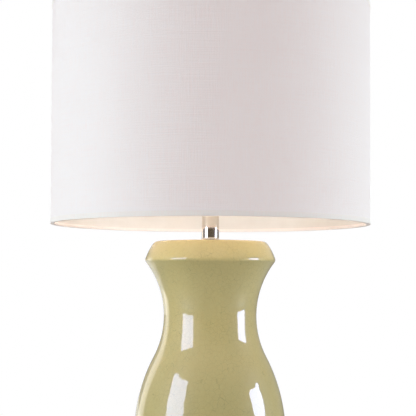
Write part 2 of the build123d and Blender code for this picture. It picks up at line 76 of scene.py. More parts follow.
# Lights: softboxes only light the lamp, and panels only show in its glaze and metal. The glow of
# either is how bright its face looks.
AIM = Vector((0, 0, 0.5))
SOFT = (0.83, 0.98, 1.0)
COOL = (0.60, 0.67, 1.0)
WARM = (1.0, 0.95, 0.92)
SOFTBOXES = {
    "left": dict(place=(-1.53, -0.90, 0.47), width=0.90, height=1.10, glow=5.9, tint=SOFT),
    "right": dict(place=(1.71, -0.40, 0.42), width=0.68, height=0.80, glow=8.7, tint=SOFT),
    "back": dict(place=(0.4, 1.45, 1.75), width=1.4, height=1.0, glow=3.6, tint=SOFT),
}
PANELS = {
    "left": dict(place=(-1.299, -0.892, 0.714), width=0.83, height=1.03, glow=9.4, tint=COOL),
    "right": dict(place=(1.556, -0.246, 0.497), width=0.62, height=0.73, glow=14.5, tint=COOL),
    "behind": dict(place=(-1.328, 1.175, 0.61), width=0.67, height=1.24, glow=1.55, tint=WARM),
}
FILAMENT_POWER = 1.19
FILAMENT_COLOUR = (1.0, 0.755, 0.675)
FILAMENT_RADIUS = 0.028

# Room: plain white to the camera, faint for the lamp's own surfaces, and dim with a paler ceiling
# in what is mirrored. The stops run from in front of the lamp to behind it.
WHITE = (1, 1, 1, 1)
AMBIENT = 0.275
AMBIENT_COLOUR = (0.96, 0.985, 1.0, 1)
ROOM_STOPS = [
    (0.0, (0.13, 0.105, 0.08)),
    (0.16, (0.15, 0.125, 0.10)),
    (0.45, (0.34, 0.32, 0.30)),
    (0.80, (0.27, 0.25, 0.23)),
    (0.93, (0.36, 0.35, 0.34)),
    (0.99, (0.32, 0.31, 0.30)),
]
CEILING = (0.62, 0.60, 0.57, 1)
CEILING_LOW = 0.15
CEILING_HIGH = 0.9

# Floor: from near to far it turns to plain white. What is mirrored of it is white only in a sector
# behind the lamp, whose stops run from the lamp's right by way of its back to its left.
FLOOR_RADIUS = 9.0
FLOOR_SEGMENTS = 96
FLOOR_SEEN = (0.95, 0.91, 0.90, 1)
FLOOR_BOUNCE = (0.42, 0.41, 0.40, 1)
FLOOR_NEAR = 0.35
FLOOR_FAR = 1.4
FLOOR_HAZE = 0.2
SECTOR_NEAR = 0.25
SECTOR_FAR = 0.5
SECTOR_STOPS = [
    (0.40, (0.10, 0.10, 0.10)),
    (0.56, (0.36, 0.36, 0.36)),
    (0.60, (1.0, 1.0, 1.0)),
    (0.755, (1.0, 1.0, 1.0)),
    (0.765, (0.0, 0.0, 0.0)),
]

# Jar
JAR_TOP = 430.0
JAR_TOP_RADIUS = 71.0
JAR_TOP_ROUND = 8.0
JAR_SEGMENTS = 192
BEVEL_CURVE = 80.0
RIDGE = Vector((84.0, 405.3))
RIDGE_ROUND = 5.6
WAIST = Vector((59.3, 334.8))
WAIST_SHARE = 0.34
BELLY = Vector((97.0, 181.0))
BELLY_SHARE = 0.67
FOOT_WAIST = Vector((68.0, 46.0))
FOOT_RIDGE = Vector((81.5, 12.0))
FOOT_RIDGE_ROUND = 3.0
FOOT_RADIUS = 78.0
FOOT_BOTTOM = 2.0
RECESS_RADIUS = 60.0
FLOOR_BOTTOM = 39.5
ROD_HOLE_RADIUS = 5.15
OUTLET_HEIGHT = 24.0
OUTLET_WIDTH = 10.0
OUTLET_CORNER = 2.0
OUTLET_CORNER_STEPS = 5
OUTLET_START = 40.0
OUTLET_END = 90.0
FLANGE_SEAT = 70.17
FLANGE_BED_WIDTH = 15.3

# Neck
NECK_RADIUS = 11.1
NECK_BORE = 10.1
NECK_LOW = 435.0
NECK_HIGH = 473.1
NECK_EDGE = 0.15
NECK_SEGMENTS = 128
SEAT_RING_LOW = 430.8
SEAT_RING_RADIUS = 13.2
SEAT_RING_RIM = 1.4
SEAT_RING_EDGE = 0.4
PLUG_RADIUS = 9.95
PLUG_HEIGHT = 3.0
CAP_RADIUS = 11.8
CAP_HIGH = 476.1
CAP_ROUND = 1.2
FINE_EDGE = 0.3

# Finial
FINIAL_LOW = 719.2
FINIAL_COLLAR_RADIUS = 6.6
FINIAL_COLLAR_HEIGHT = 2.6
FINIAL_COLLAR_EDGE = 0.4
FINIAL_NECK_RADIUS = 4.6
FINIAL_NECK_HEIGHT = 7.5
FINIAL_BALL_RADIUS = 10.5
FINIAL_BORE_RADIUS = 3.18
FINIAL_BORE_DEPTH = 11.7

# Switch knob
KNOB_THICKNESS = 5.0
KNOB_BAR_LENGTH = 12.0
RIB_COUNT = 5
RIB_PITCH = 1.5
RIB_WIDTH = 0.6
RIB_RISE = 0.3
RIB_INSET = 1.6
RIB_EDGE = 0.12
RIB_EDGE_STEPS = 2

# Bulb
GLASS_LOW = 545.0
GLASS_EDGE = 0.6
BULB_NECK_RADIUS = 13.4
BULB_NECK_HEIGHT = 5.0
BULB_RADIUS = 30.0
BULB_CENTRE = 600.0
BULB_SHARE = 0.42
SCREW_LOW = 524.0
SCREW_CREST = 13.02
SCREW_DEPTH = 0.75
SCREW_PITCH = 3.63
SCREW_SEGMENTS = 48
THREAD_POINTS = 6

# Shade
SHADE_RADIUS = 203.2
SHADE_LOW = 451.0
SHADE_HIGH = 730.4
SHADE_SEGMENTS = 288
WALL_ROWS = 12
FABRIC_THICKNESS = 0.6
LINER_THICKNESS = 0.5
GLUE = 0.05
HEM_HEIGHT = 6.0
HEM_THICKNESS = 0.4
HEM_WEB = 0.5
HEM_CORNER = 0.3
HEM_EDGE = 0.15
HEM_FOLD_HEIGHT = 4.0
HEM_FOLD_RADIUS = 198.55
SEAM_WIDTH = 12.0
SEAM_THICKNESS = 0.35
SEAM_SUNK = 0.3
SEAM_UNDER_HEM = 0.6
SEAM_STEPS = 6

# The heading of an outline that leaves a point straight up
UP = (0, 1)

# Faces that meet at more than a crease keep a crisp edge, and those within FLAT become one.
CREASE = radians(32)
FINE_CREASE = radians(50)
SOLID_CREASE = radians(30)
FLAT = radians(0.5)

# An arc that bows less than this is drawn as a line.
STRAIGHT = 1e-6

# Points this near are merged: in millimetres on an outline, in metres on a copy of a CAD solid.
MERGED = 1e-4
DEGENERATE = 1e-5
SOLID_MERGED = 2e-6
SOLID_DEGENERATE = 1e-6

# Painted glow, in place of the bulb's light coming through the cloth: how strongly the shade's
# cloth, its seam of two layers and its taped rims glow.
SHADE_PAINTED_GLOW = 0.30
SEAM_PAINTED_GLOW = SHADE_PAINTED_GLOW * 0.6
TAPE_PAINTED_GLOW = SHADE_PAINTED_GLOW * 0.72

# Colours of the glaze, the clay under it, and where the one ends on the foot, in metres
OLIVE = (0.720, 0.558, 0.246)
POOLED_OLIVE = (0.662, 0.515, 0.208)
SPECK = (0.72, 0.63, 0.30)
CRACK = (0.30, 0.235, 0.10)
CLAY = (0.70, 0.62, 0.50)
GLAZE_END = 0.0046
CLAY_START = 0.0036

# Colours of the cloth: its gaps, its threads, a tone that clouds both, and the painted glow through
# either, for the bulb's light
CLOTH_GAP = (0.75, 0.80, 0.81)
CLOTH_THREAD = (0.80, 0.855, 0.865)
CLOTH_CLOUD = (0.78, 0.83, 0.84)
PAINTED_GLOW_GAP = (1.0, 0.52, 0.45)
PAINTED_GLOW_THREAD = (1.0, 0.59, 0.525)

# Other colours: pairs with the darker one first, the painted glow of the tape for the bulb's light
# through it, and the light of the bulb's glass
BACKING = ((0.835, 0.828, 0.783), (0.875, 0.873, 0.833))
TAPE = ((0.80, 0.795, 0.765), (0.88, 0.875, 0.845))
TAPE_PAINTED_LIGHT = (1.0, 0.64, 0.57)
FELT = ((0.05, 0.055, 0.045), (0.11, 0.115, 0.10))
FROSTED = ((0.86, 0.85, 0.83), (0.92, 0.91, 0.90))
FROSTED_LIGHT = (1.0, 0.86, 0.72)

# Most of a noise lies between these.
NOISE_LOW = 0.3
NOISE_HIGH = 0.7

# Metals: colour, lowest roughness, how much smudges add to it, and the depth of scratches in metres
METALS = {
    "neck_chrome": ((0.80, 0.735, 0.66), 0.045, 0.05, 0.000003),
    "zinc_steel": ((0.58, 0.58, 0.56), 0.34, 0.16, 0.00002),
    "nickel_wire": ((0.70, 0.67, 0.62), 0.20, 0.14, 0.00001),
    "socket_nickel": ((0.72, 0.70, 0.66), 0.22, 0.14, 0.00001),
    "contact_brass": ((0.78, 0.58, 0.26), 0.26, 0.16, 0.00001),
    "bulb_aluminium": ((0.80, 0.80, 0.80), 0.28, 0.16, 0.00001),
}

# Rubber, plastic, card and paint: colour, roughness, scale of the grain, and its depth in metres
MOULDED = {
    "gasket_rubber": ((0.035, 0.035, 0.033), 0.70, 800.0, 0.00004),
    "grommet_rubber": ((0.045, 0.043, 0.040), 0.62, 800.0, 0.00004),
    "switch_plastic": ((0.030, 0.028, 0.027), 0.36, 1200.0, 0.00002),
    "insulator_plastic": ((0.035, 0.026, 0.020), 0.42, 900.0, 0.00003),
    "bulb_black_glass": ((0.02, 0.02, 0.022), 0.16, 400.0, 0.00002),
    "socket_card": ((0.40, 0.29, 0.17), 0.88, 700.0, 0.00008),
    "frame_wire": ((0.76, 0.75, 0.72), 0.44, 600.0, 0.00003),
}

# CAD nodes that keep their shape, under the finish that each gets
DRESSED = {
    "foot_felt": ["felt_pad"],
    "grommet_rubber": ["cord_grommet"],
    "zinc_steel": ["floor_washer", "lock_washer", "bottom_nut", "lamp_rod", "saddle_nut"],
    "gasket_rubber": ["top_gasket"],
    "nickel_wire": [
        "harp_saddle",
        "harp_loop",
        "harp_stud",
        "harp_sleeve_left",
        "harp_sleeve_right",
    ],
    "socket_nickel": ["socket_cap", "socket_shell"],
    "socket_card": ["socket_liner"],
    "insulator_plastic": ["socket_insulator"],
    "contact_brass": ["socket_screw_shell", "socket_contact", "switch_shaft", "bulb_tip"],
    "switch_plastic": ["switch_knob"],
    "bulb_black_glass": ["bulb_insulator"],
    "frame_wire": [
        "shade_top_ring",
        "shade_bottom_ring",
        "spider_hub",
        "spider_arm_1",
        "spider_arm_2",
        "spider_arm_3",
    ],
}

FINISHES = {}


# ---- Nodes --------------------------------------------------------------------------------------
def add_node(tree, kind, inputs=(), **settings):
    """A node with its settings; each input is a number, a colour or another node's output."""
    node = tree.nodes.new("ShaderNode" + kind)
    for setting, value in settings.items():
        setattr(node, setting, value)
    for socket, value in inputs:
        if isinstance(value, bpy.types.NodeSocket):
            tree.links.new(value, node.inputs[socket])
        else:
            node.inputs[socket].default_value = value
    return node


def calculate(tree, operation, *amounts, **settings):
    """What an operation makes of its amounts."""
    settings["operation"] = operation
    return add_node(tree, "Math", enumerate(amounts), **settings).outputs[0]


def stretch(tree, amount, low, high, to_low=0.0, to_high=1.0, **settings):
    """The part of an amount between low and high, stretched to a new range."""
    limits = [("From Min", low), ("From Max", high), ("To Min", to_low), ("To Max", to_high)]
    return add_node(tree, "MapRange", [("Value", amount), *limits], **settings).outputs[0]


def mix_colours(tree, share, first, second):
    inputs = [(0, share), (6, first), (7, second)]
    return add_node(tree, "Mix", inputs, data_type="RGBA").outputs[2]


def mix_shaders(tree, share, first, second):
    inputs = [(0, share), (1, first.outputs[0]), (2, second.outputs[0])]
    return add_node(tree, "MixShader", inputs)


def ramp(tree, amount, stops):
    """A colour ramp over an amount from 0 to 1."""
    node = add_node(tree, "ValToRGB", [("Fac", amount)])
    stripes = node.color_ramp.elements
    while len(stripes) < len(stops):
        stripes.new(0.5)
    for stripe, (place, colour) in zip(stripes, stops):
        stripe.position = place
        stripe.color = (*colour, 1)
    return node.outputs["Color"]


def seen_straight(tree, path):
    """1 for what the camera sees itself, also through glass."""
    return calculate(
        tree,
        "ADD",
        path.outputs["Is Camera Ray"],
        path.outputs["Is Transmission Ray"],
        use_clamp=True,
    )


# ---- Camera and room ----------------------------------------------------------------------------
def set_camera():
    data = bpy.data.cameras.new("camera")
    data.sensor_width = CAMERA_SENSOR
    data.lens = CAMERA_LENS
    data.shift_y = CAMERA_SHIFT
    camera = bpy.data.objects.new("camera", data)
    bpy.context.scene.collection.objects.link(camera)
    place = Matrix.Translation(CAMERA_PLACE)
    tilt = Matrix.Rotation(CAMERA_TILT, 4, "X")
    roll = Matrix.Rotation(CAMERA_ROLL, 4, "Z")
    camera.matrix_world = place @ tilt @ roll
    bpy.context.scene.camera = camera


def light_room():
    """White behind the lamp, a dim room in what its glaze and metal mirror."""
    world = bpy.data.worlds.new("studio")
    bpy.context.scene.world = world
    world.use_nodes = True
    tree = world.node_tree
    tree.nodes.clear()
    way = add_node(tree, "TexCoord").outputs["Generated"]
    parts = add_node(tree, "SeparateXYZ", [(0, way)])
    around = ramp(tree, stretch(tree, parts.outputs["Y"], -1.0, 1.0), ROOM_STOPS)
    height = stretch(tree, parts.outputs["Z"], CEILING_LOW, CEILING_HIGH)
    room = mix_colours(tree, height, around, CEILING)
    mirrored = add_node(tree, "Background", [("Color", room)])
    ambient = add_node(tree, "Background", [("Color", AMBIENT_COLOUR), ("Strength", AMBIENT)])
    white = add_node(tree, "Background", [("Color", WHITE)])
    path = add_node(tree, "LightPath")
    bounced = mix_shaders(tree, path.outputs["Is Glossy Ray"], ambient, mirrored)
    seen = mix_shaders(tree, seen_straight(tree, path), bounced, white)
    add_node(tree, "OutputWorld", [(0, seen.outputs[0])])


def area_lamp(name, place, width, height, glow, tint):
    """A flat light that faces the middle of the lamp."""
    lamp = bpy.data.lights.new(name, "AREA")
    lamp.shape = "RECTANGLE"
    lamp.size = width
    lamp.size_y = height
    lamp.energy = glow * pi * width * height
    lamp.color = tint
    holder = bpy.data.objects.new(name, lamp)
    bpy.context.scene.collection.objects.link(holder)
    holder.location = place
    holder.rotation_euler = (Vector(place) - AIM).to_track_quat("Z", "Y").to_euler()
    holder.visible_camera = False
    return holder


def set_lamps():
    """The softboxes, the panels, and the bulb's own light, which rides with the bulb."""
    for side, box in SOFTBOXES.items():
        area_lamp(side + "_softbox", **box).visible_glossy = False
    for side, panel in PANELS.items():
        area_lamp(side + "_mirrored", **panel).visible_diffuse = False
    filament = bpy.data.lights.new("bulb_light", "POINT")
    filament.energy = FILAMENT_POWER
    filament.color = FILAMENT_COLOUR
    filament.shadow_soft_size = FILAMENT_RADIUS
    holder = bpy.data.objects.new("bulb_light", filament)
    bpy.context.scene.collection.objects.link(holder)
    holder.location = (0, 0, BULB_CENTRE * MM)
    holder.visible_camera = False
    holder.visible_glossy = False
    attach(holder, "bulb")


def floor_whiteness(tree):
    """How much of the floor is plain white: far from the lamp, and behind it in what is mirrored."""
    place = add_node(tree, "TexCoord").outputs["Object"]
    reach = add_node(tree, "VectorMath", [(0, place)], operation="LENGTH").outputs["Value"]
    away = stretch(
        tree, reach, FLOOR_NEAR, FLOOR_FAR, FLOOR_HAZE, interpolation_type="SMOOTHSTEP"
    )
    parts = add_node(tree, "SeparateXYZ", [(0, place)])
    turn = calculate(tree, "ARCTAN2", parts.outputs["Y"], parts.outputs["X"])
    sector = ramp(tree, calculate(tree, "MULTIPLY", turn, 1 / pi), SECTOR_STOPS)
    past = stretch(tree, reach, SECTOR_NEAR, SECTOR_FAR)
    behind = calculate(tree, "MULTIPLY", sector, past)
    path = add_node(tree, "LightPath")
    mirrored = calculate(tree, "MULTIPLY", path.outputs["Is Glossy Ray"], behind)
    straight = seen_straight(tree, path)
    return calculate(tree, "MULTIPLY_ADD", straight, away, mirrored, use_clamp=True)


def lay_floor():
    """A pale floor that turns to plain white away from the lamp, and bounces only a little light."""
    bm = bmesh.new()
    bmesh.ops.create_circle(bm, cap_ends=True, radius=FLOOR_RADIUS, segments=FLOOR_SEGMENTS)
    floor = add_object("floor", bm)
    made = bpy.data.materials.new("floor_paint")
    made.use_nodes = True
    tree = made.node_tree
    paint = tree.nodes["Principled BSDF"]
    paint.inputs["Roughness"].default_value = 0.85
    camera_ray = add_node(tree, "LightPath").outputs["Is Camera Ray"]
    colour = mix_colours(tree, camera_ray, FLOOR_BOUNCE, FLOOR_SEEN)
    tree.links.new(colour, paint.inputs["Base Color"])
    white = add_node(tree, "Emission", [("Color", WHITE)])
    mixed = mix_shaders(tree, floor_whiteness(tree), paint, white)
    tree.links.new(mixed.outputs[0], tree.nodes["Material Output"].inputs[0])
    floor.data.materials.append(made)


# ---- Finishes -----------------------------------------------------------------------------------
class Finish:
    """A material slot's finish, built up node by node round one shader."""

    def __init__(self, slot, **sockets):
        made = bpy.data.materials.new(slot + "_finish")
        made.use_nodes = True
        self.tree = made.node_tree
        self.shader = self.tree.nodes["Principled BSDF"]
        self.place = self.add("TexCoord")
        for socket, value in sockets.items():
            value = (*value, 1) if isinstance(value, tuple) else value
            self.shader.inputs[socket.replace("_", " ")].default_value = value
        FINISHES[slot] = made

    def add(self, kind, *inputs, **settings):
        return add_node(self.tree, kind, inputs, **settings)

    def math(self, operation, *amounts):
        return calculate(self.tree, operation, *amounts)

    def vectors(self, operation, first, second):
        return self.add("VectorMath", (0, first), (1, second), operation=operation).outputs[0]

    def spread(self, amount, low, high, to_low=0.0, to_high=1.0):
        return stretch(self.tree, amount, low, high, to_low, to_high)

    def blend(self, share, first, second):
        """A mix of two colours, each written out or another node's output."""
        first = first if isinstance(first, bpy.types.NodeSocket) else (*first, 1)
        second = second if isinstance(second, bpy.types.NodeSocket) else (*second, 1)
        return mix_colours(self.tree, share, first, second)

    def stretched(self, across, along, deep=1.0, coordinates="Object"):
        """The surface's coordinates, scaled by an amount for each axis."""
        where = self.place.outputs[coordinates]
        return self.add("Mapping", ("Vector", where), ("Scale", (across, along, deep))).outputs[0]

    def noise(self, scale, detail=4.0, roughness=0.55, where=None):
        return self.add(
            "TexNoise",
            ("Vector", where or self.place.outputs["Object"]),
            ("Scale", scale),
            ("Detail", detail),
            ("Roughness", roughness),
        ).outputs["Fac"]

    def clouds(self, scale, detail):
        """Soft patches from 0 to 1."""
        return self.spread(self.noise(scale, detail), NOISE_LOW, NOISE_HIGH)

    def wandering(self, scale, reach):
        """The surface's place, moved about a little, so that cracks don't run straight."""
        place = self.place.outputs["Object"]
        noise = self.add("TexNoise", ("Vector", place), ("Scale", scale), ("Detail", 2.0))
        centred = self.vectors("SUBTRACT", noise.outputs["Color"], (0.5, 0.5, 0.5))
        offset = self.vectors("MULTIPLY", centred, (reach * 2, reach * 2, reach * 2))
        return self.vectors("ADD", place, offset)

    def cracks(self, where, scale, width):
        """1 on thin lines between irregular cells, 0 inside them."""
        cells = self.add(
            "TexVoronoi", ("Vector", where), ("Scale", scale), feature="DISTANCE_TO_EDGE"
        )
        return self.spread(cells.outputs["Distance"], width, 0.0)

    def threads(self, across, along, slub):
        """One set of threads: fine streaks along one way of the weave, thicker in places."""
        fine = self.stretched(across, along, coordinates="UV")
        thick = self.stretched(across * slub, along * 2.5, coordinates="UV")
        streaks = self.noise(1.0, 3.0, 0.6, fine)
        slubs = self.noise(1.0, 2.0, 0.5, thick)
        return self.math("ADD", streaks, self.math("MULTIPLY", slubs, 0.6))

    def use(self, socket, value):
        self.tree.links.new(value, self.shader.inputs[socket])

    def emboss(self, height, depth, coat=False):
        """Bump from a height of 0 to 1 that stands for a depth in metres."""
        bump = self.add("Bump", ("Height", height), ("Distance", depth)).outputs[0]
        self.use("Normal", bump)
        if coat:
            self.use("Coat Normal", bump)


def glaze_finish():
    """Pale olive glaze, pooled and broken a little, with a fine crackle under a clear surface."""
    glaze = Finish(
        "jar_glaze",
        Roughness=0.45,
        Specular_IOR_Level=0.2,
        IOR=1.5,
        Coat_Weight=1.0,
        Coat_Roughness=0.035,
        Coat_IOR=1.58,
    )
    pooled = glaze.blend(glaze.clouds(9.0, 3.0), OLIVE, POOLED_OLIVE)
    specks = glaze.spread(glaze.noise(260.0, 5.0, 0.65), NOISE_LOW, NOISE_HIGH, 0.0, 0.30)
    speckled = glaze.blend(specks, pooled, SPECK)
    where = glaze.wandering(70.0, 0.0022)
    wide_lines = glaze.cracks(where, 150.0, 0.022)
    fine_lines = glaze.math("MULTIPLY", glaze.cracks(where, 330.0, 0.03), 0.6)
    lines = glaze.math("MAXIMUM", wide_lines, fine_lines)
    patchy = glaze.spread(glaze.noise(30.0, 2.0), 0.35, 0.65, 0.25, 1.0)
    shown = glaze.math("MULTIPLY", glaze.math("MULTIPLY", lines, patchy), 0.56)
    crackled = glaze.blend(shown, speckled, CRACK)
    height = glaze.add("SeparateXYZ", (0, glaze.place.outputs["Object"])).outputs["Z"]
    bare = glaze.spread(height, GLAZE_END, CLAY_START)
    glaze.use("Base Color", glaze.blend(bare, crackled, CLAY))
    glaze.use("Coat Weight", glaze.math("SUBTRACT", 1.0, bare))
    glaze.emboss(glaze.noise(38.0, 2.0), 0.00035, coat=True)


def metal_finish(slot, colour, roughness, smudge, depth):
    """Plated or bare metal with faint smudges and fine scratches."""
    metal = Finish(slot, Base_Color=colour, Metallic=1.0)
    cloudy = metal.noise(90.0)
    metal.use("Roughness", metal.spread(cloudy, 0.3, 0.75, roughness, roughness + smudge))
    metal.emboss(metal.noise(900.0, 3.0), depth)


def moulded_finish(slot, colour, roughness, grain_scale, depth):
    """Plastic, rubber, card or paint with an even fine grain."""
    moulded = Finish(slot)
    grain = moulded.noise(grain_scale)
    paler = tuple(min(1.0, part * 1.18 + 0.004) for part in colour)
    moulded.use("Base Color", moulded.blend(moulded.clouds(60.0, 3.0), colour, paler))
    smooth = roughness - 0.06
    rough = roughness + 0.08
    moulded.use("Roughness", moulded.spread(grain, NOISE_LOW, NOISE_HIGH, smooth, rough))
    moulded.emboss(grain, depth)


def linen_finish(slot, glow):
    """Off-white linen-look cloth on a stiff backing, with a painted glow for the bulb's light that
    comes through it a little.
    """
    linen = Finish(
        slot, Roughness=0.86, Sheen_Weight=0.05, Sheen_Roughness=0.5, Emission_Strength=glow
    )
    warp = linen.threads(across=1500.0, along=26.0, slub=0.35)
    weft = linen.threads(across=20.0, along=1500.0, slub=0.35)
    weave = linen.spread(linen.math("ADD", warp, weft), 1.25, 2.0)
    woven = linen.blend(weave, CLOTH_GAP, CLOTH_THREAD)
    cloudy = linen.math("MULTIPLY", linen.clouds(12.0, 3.0), 0.25)
    linen.use("Base Color", linen.blend(cloudy, woven, CLOTH_CLOUD))
    linen.use("Emission Color", linen.blend(weave, PAINTED_GLOW_GAP, PAINTED_GLOW_THREAD))
    linen.emboss(weave, 0.00022)


def backing_finish():
    """The smooth stiff sheet inside the drum."""
    backing = Finish("shade_backing", Roughness=0.55)
    backing.use("Base Color", backing.blend(backing.clouds(40.0, 4.0), *BACKING))
    backing.emboss(backing.noise(700.0, 3.0), 0.00005)


def tape_finish():
    """The ribbed tape that binds the drum's rims, with a painted glow for the bulb's light through
    it.
    """
    tape = Finish(
        "shade_tape",
        Roughness=0.8,
        Sheen_Weight=0.1,
        Emission_Color=TAPE_PAINTED_LIGHT,
        Emission_Strength=TAPE_PAINTED_GLOW,
    )
    ribs = tape.threads(across=1300.0, along=40.0, slub=0.4)
    tape.use("Base Color", tape.blend(tape.spread(ribs, 0.5, 1.1), *TAPE))
    tape.emboss(ribs, 0.00012)


def felt_finish():
    felt = Finish("foot_felt", Roughness=0.95, Sheen_Weight=0.4)
    fibres = felt.noise(1.0, 5.0, 0.7, felt.stretched(900.0, 1400.0, 1100.0))
    felt.use("Base Color", felt.blend(felt.spread(fibres, NOISE_LOW, NOISE_HIGH), *FELT))
    felt.emboss(fibres, 0.0004)


def frosted_glass_finish():
    glass = Finish(
        "bulb_glass",
        Roughness=0.35,
        Coat_Weight=0.6,
        Coat_Roughness=0.08,
        Emission_Color=FROSTED_LIGHT,
        Emission_Strength=0.55,
    )
    frost = glass.clouds(300.0, 3.0)
    glass.use("Base Color", glass.blend(frost, *FROSTED))
    glass.emboss(frost, 0.00002)


def set_finishes():
    glaze_finish()
    linen_finish("shade_linen", SHADE_PAINTED_GLOW)
    linen_finish("doubled_linen", SEAM_PAINTED_GLOW)
    backing_finish()
    tape_finish()
    for slot, look in METALS.items():
        metal_finish(slot, *look)
    for slot, look in MOULDED.items():
        moulded_finish(slot, *look)
    felt_finish()
    frosted_glass_finish()


# ---- Making pieces ------------------------------------------------------------------------------
def add_object(name, bm):
    """Puts a bmesh into the scene as an object at the origin."""
    mesh = bpy.data.meshes.new(name)
    bm.to_mesh(mesh)
    bm.free()
    made = bpy.data.objects.new(name, mesh)
    bpy.context.scene.collection.objects.link(made)
    return made


def shade_smooth(bm, crease):
    """Smooth shading, with edges kept crisp where faces meet at more than the crease."""
    for face in bm.faces:
        face.smooth = True
    for edge in bm.edges:
        edge.smooth = not edge.is_manifold or edge.calc_face_angle() < crease


def to_metres(bm):
    bmesh.ops.scale(bm, vec=(MM, MM, MM), verts=bm.verts)


def round_edges(bm, edges, reach, steps):
    bmesh.ops.bevel(
        bm,
        geom=edges,
        offset=reach,
        offset_type="OFFSET",
        segments=steps,
        profile=0.5,
        affect="EDGES",
        material=-1,
    )


def install(piece, body, slot, *nodes):
    """Gives a piece its finish and body, and hides the CAD nodes it stands for."""
    if not piece.data.materials:
        piece.data.materials.append(FINISHES[slot])
    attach(piece, body)
    if nodes:
        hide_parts(*nodes)
    return piece


class Outline:
    """Half of a turned piece's section, drawn on from point to point: radius and height in mm."""

    def __init__(self, radius, height):
        self.bm = bmesh.new()
        self.end = self.bm.verts.new((radius, 0, height))
        self.heading = Vector((1, 0))

    def line(self, *points):
        for radius, height in points:
            self.heading = Vector((radius - self.end.co.x, height - self.end.co.z)).normalized()
            grown = bmesh.ops.extrude_vert_indiv(self.bm, verts=[self.end])["verts"][0]
            grown.co = (radius, 0, height)
            self.end = grown

    def arc(self, radius, height, heading=None, step=2.2):
        """An arc to a point, leaving in the heading, or in line with what comes before."""
        if heading is not None:
            self.heading = Vector(heading)
        start = Vector((self.end.co.x, self.end.co.z))
        chord = Vector((radius, height)) - start
        aside = Vector((-self.heading.y, self.heading.x))
        bow = 2 * chord.dot(aside)
        if abs(bow) < STRAIGHT:
            self.line((radius, height))
            return
        curve = chord.length_squared / bow
        centre = start + aside * curve
        turn = 2 * atan2(chord.dot(aside), chord.dot(self.heading))
        steps = max(3, ceil(abs(turn * curve) / step), ceil(abs(turn) / radians(9)))
        spun = bmesh.ops.spin(
            self.bm,
            geom=[self.end],
            cent=(centre.x, 0, centre.y),
            axis=(0, 1, 0),
            angle=-turn,
            steps=steps,
        )
        self.end = spun["geom_last"][0]
        self.end.co = (radius, 0, height)
        self.heading = Matrix.Rotation(turn, 2) @ self.heading

    def turned(self, name, segments=96):
        """The closed piece that the outline makes about the lamp's axis."""
        bm = self.bm
        bmesh.ops.spin(
            bm,
            geom=bm.verts[:] + bm.edges[:],
            cent=(0, 0, 0),
            axis=(0, 0, 1),
            angle=2 * pi,
            steps=segments,
            use_merge=True,
        )
        bmesh.ops.remove_doubles(bm, verts=bm.verts, dist=MERGED)
        bmesh.ops.dissolve_degenerate(bm, edges=bm.edges, dist=DEGENERATE)
        bmesh.ops.recalc_face_normals(bm, faces=bm.faces)
        to_metres(bm)
        shade_smooth(bm, CREASE)
        return add_object(name, bm)


def share_of(start, end, share):
    return start + (end - start) * share


def arc_centre(start, end):
    """The centre of the arc that leaves start vertically and ends at end."""
    step = end - start
    return Vector((start.x + step.length_squared / (2 * step.x), start.y))


def meeting(first, first_reach, second, second_reach):
    """The higher point at these distances from two centres."""
    way = second - first
    along = (first_reach**2 - second_reach**2 + way.length_squared) / (2 * way.length)
    aside = sqrt(first_reach**2 - along**2)
    way.normalize()
    return first + way * along + Vector((-way.y, way.x)) * aside


def toward(centre, point, reach):
    """The point at a distance from the centre, on the side of another point."""
    return centre + (point - centre).normalized() * reach


def dressed(node, slot):
    """A copy of a CAD solid with its triangles joined and its curves smooth, which stands for it."""
    solid = frame["nodes"][node]
    bm = bmesh.new()
    bm.from_mesh(solid.data)
    bmesh.ops.remove_doubles(bm, verts=bm.verts, dist=SOLID_MERGED)
    bmesh.ops.dissolve_degenerate(bm, edges=bm.edges, dist=SOLID_DEGENERATE)
    bmesh.ops.dissolve_limit(bm, angle_limit=FLAT, verts=bm.verts, edges=bm.edges)
    shade_smooth(bm, SOLID_CREASE)
    install(add_object(node + "_dressed", bm), solid["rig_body"], slot, node)


def unroll(piece, radius):
    """UVs in metres for a wall about the axis: along the wall, and up it."""
    mesh = piece.data
    layer = mesh.uv_layers.new(name="wall")
    for face in mesh.polygons:
        middle = atan2(face.center.y, face.center.x)
        for index in face.loop_indices:
            spot = mesh.vertices[mesh.loops[index].vertex_index].co
            turn = atan2(spot.y, spot.x) - middle
            turn = (turn + pi) % (2 * pi) - pi
            inset = radius * MM - hypot(spot.x, spot.y)
            layer.data[index].uv = ((middle + turn) * radius * MM, spot.z + inset)


def cut(piece, cutter):
    """Takes the cutter's shape out of a piece for good."""
    modifier = piece.modifiers.new("cut", "BOOLEAN")
    modifier.object = cutter
    modifier.solver = "EXACT"
    graph = bpy.context.evaluated_depsgraph_get()
    result = bpy.data.meshes.new_from_object(piece.evaluated_get(graph))
    piece.modifiers.clear()
    piece.data = result
    bpy.data.objects.remove(cutter)


# ---- Jar ----------------------------------------------------------------------------------------
def draw_foot(outline):
    """The foot's side, its rounded ridge, and the flare above it up to the lower waist."""
    flare_centre = arc_centre(FOOT_WAIST, FOOT_RIDGE)
    flare_curve = flare_centre.x - FOOT_WAIST.x
    side = (FOOT_RIDGE - Vector((FOOT_RADIUS, FOOT_BOTTOM))).normalized()
    inward = Vector((-side.y, side.x))
    start = FOOT_RIDGE + inward * FOOT_RIDGE_ROUND
    offset = start - flare_centre
    reach = flare_curve + FOOT_RIDGE_ROUND
    sideways = offset.dot(side)
    along = -sideways - sqrt(sideways**2 - offset.length_squared + reach**2)
    ridge_centre = start + side * along
    outline.line((FOOT_RADIUS, FOOT_BOTTOM), ridge_centre - inward * FOOT_RIDGE_ROUND)
    outline.arc(*toward(flare_centre, ridge_centre, flare_curve))
    outline.arc(*FOOT_WAIST)


